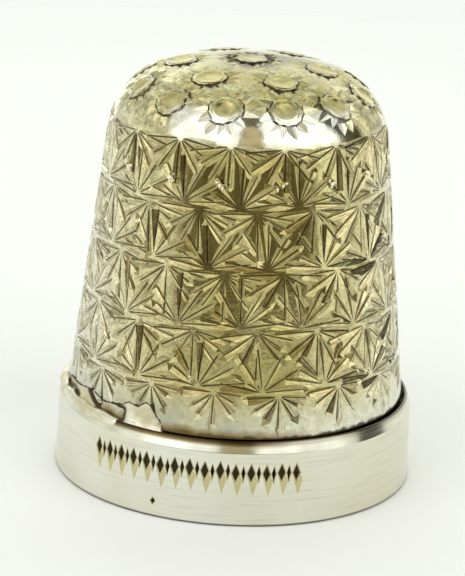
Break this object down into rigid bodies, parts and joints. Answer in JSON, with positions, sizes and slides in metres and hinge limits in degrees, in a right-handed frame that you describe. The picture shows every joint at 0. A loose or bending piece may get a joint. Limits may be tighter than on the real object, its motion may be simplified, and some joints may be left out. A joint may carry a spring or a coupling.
{
  "type": "thimble",
  "caption": "Domed thimble with a tapered, star-cut skirt, a dimpled crown and a plain band soldered round its open mouth.",
  "frame": {"origin": "centre of the mouth, on the plane that the thimble stands on", "axes": "+Z along the axis of revolution, from the mouth to the crown; +X to the right and -Y to the front as the thimble is seen standing"},
  "size_m": [0.0174, 0.0174, 0.0207],
  "materials": {
    "cup_silver": "satin, tarnished warm in the cuts",
    "band_silver": "polished, softly worn",
    "solder": "dull, pitted at its edge"
  },
  "bodies": {
    "root": {"thimble_body": "cup_silver", "rim_band": "band_silver", "solder_seam": "solder"}
  },
  "joints": []
}
